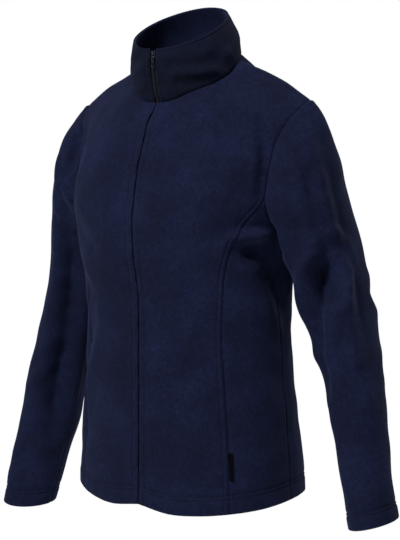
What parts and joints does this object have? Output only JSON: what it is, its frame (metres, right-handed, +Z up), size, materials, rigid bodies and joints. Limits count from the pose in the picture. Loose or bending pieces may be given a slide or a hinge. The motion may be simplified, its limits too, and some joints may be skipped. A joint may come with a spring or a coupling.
{
  "type": "fleece zip jacket",
  "caption": "Women's fitted long-sleeved fleece jacket with a stand-up collar, a full-length front zip and in-seam pockets, filled out as if worn.",
  "frame": {"origin": "on the wearer's centre plane, at the height where the neck seam meets the shoulder seams, above the middle of the shoulders", "axes": "+Z up, -Y out of the wearer's front, +X towards the wearer's left"},
  "size_m": [0.7166, 0.2595, 0.7522],
  "materials": {
    "fleece": "soft navy fleece with a short nap",
    "zip_tape": "fine woven polyester tape",
    "zip_coil": "satin nylon",
    "zip_metal": "dark plated zinc",
    "seam_tab": "black woven tape"
  },
  "bodies": {
    "jacket": {"front_left": "fleece", "front_right": "fleece", "side_front_left": "fleece", "side_front_right": "fleece", "back": "fleece", "sleeve_left": "fleece", "sleeve_right": "fleece", "collar": "fleece", "pocket_bag_left": "fleece", "pocket_bag_right": "fleece", "zip_tape_left": "zip_tape", "zip_tape_right": "zip_tape", "zip_chain": "zip_coil", "zip_retainer": "zip_coil", "zip_slider": "zip_metal", "seam_tab": "seam_tab"},
    "pull": {"zip_pull": "zip_metal"}
  },
  "joints": [
    {"name": "pull_tab_swing", "type": "hinge", "parent": "jacket", "child": "pull", "pos_m": [0, -0.09495, 0.00486], "axis": [-1, 0, 0], "range_deg": [0, 125]}
  ]
}
